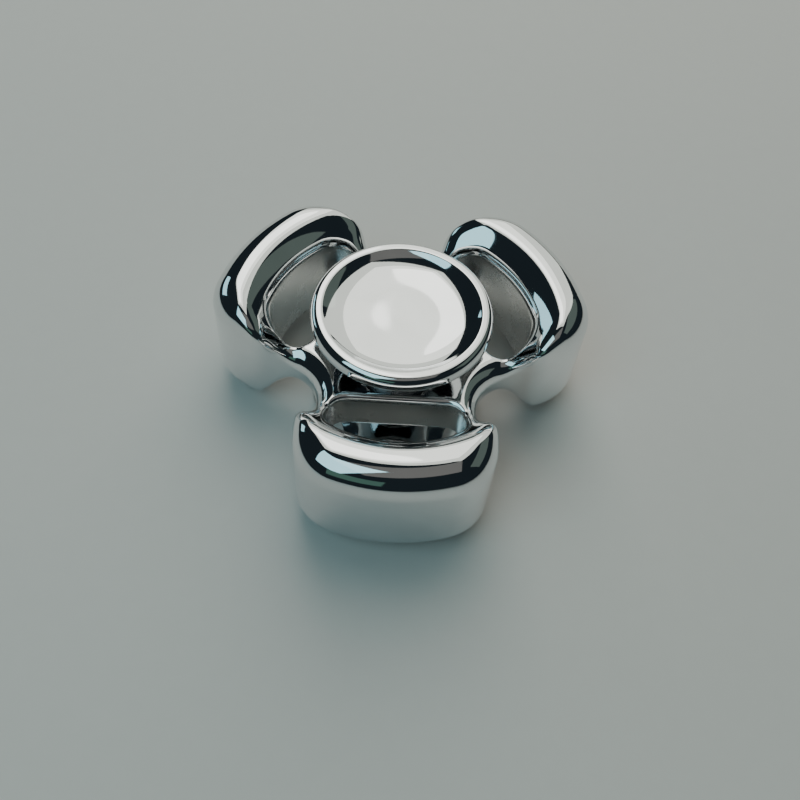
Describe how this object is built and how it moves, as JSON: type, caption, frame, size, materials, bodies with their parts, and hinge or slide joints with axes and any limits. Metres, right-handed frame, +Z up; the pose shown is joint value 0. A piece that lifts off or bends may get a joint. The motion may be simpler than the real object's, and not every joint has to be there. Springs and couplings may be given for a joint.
{
  "type": "fidget spinner",
  "caption": "Polished steel fidget spinner with thick windowed lobes round a hub, a small ball bearing and dished finger buttons.",
  "frame": {"origin": "centre of the spinner: on the spin axis in the middle plane", "axes": "+Z up along the spin axis, -Y through the middle of the front lobe, +X to the right of it"},
  "size_m": [0.049, 0.0452, 0.0188],
  "materials": {
    "polished_steel": "mirror polished stainless steel",
    "bearing_steel": "ground steel",
    "ball_steel": "polished steel balls",
    "shield_steel": "pressed steel sheet",
    "spring_wire": "drawn spring steel",
    "cage_steel": "pressed steel",
    "washer_steel": "fine turned steel",
    "blackened_screw": "dark oxide steel"
  },
  "bodies": {
    "buttons": {"lower_button": "polished_steel", "upper_button": "polished_steel", "joining_screw": "blackened_screw", "bearing_inner_ring": "bearing_steel", "upper_spacer": "washer_steel", "lower_spacer": "washer_steel"},
    "rotor": {"spinner_body": "polished_steel", "bearing_outer_ring": "bearing_steel", "upper_bearing_shield": "shield_steel", "lower_bearing_shield": "shield_steel", "upper_snap_ring": "spring_wire", "lower_snap_ring": "spring_wire"},
    "ball_train": {"ball_cage": "cage_steel", "ball_01": "ball_steel", "ball_02": "ball_steel", "ball_03": "ball_steel", "ball_04": "ball_steel", "ball_05": "ball_steel", "ball_06": "ball_steel", "ball_07": "ball_steel", "ball_08": "ball_steel", "ball_09": "ball_steel", "ball_10": "ball_steel"}
  },
  "joints": [
    {"name": "body_spin", "type": "hinge", "parent": "buttons", "child": "rotor", "pos_m": [0, 0, 0], "axis": [0, 0, 1], "continuous": true},
    {"name": "cage_orbit", "type": "hinge", "parent": "buttons", "child": "ball_train", "pos_m": [0, 0, 0], "axis": [0, 0, 1], "continuous": true}
  ],
  "couplings": [
    {"joint": "cage_orbit", "follows": "body_spin", "ratio": 0.5834}
  ]
}
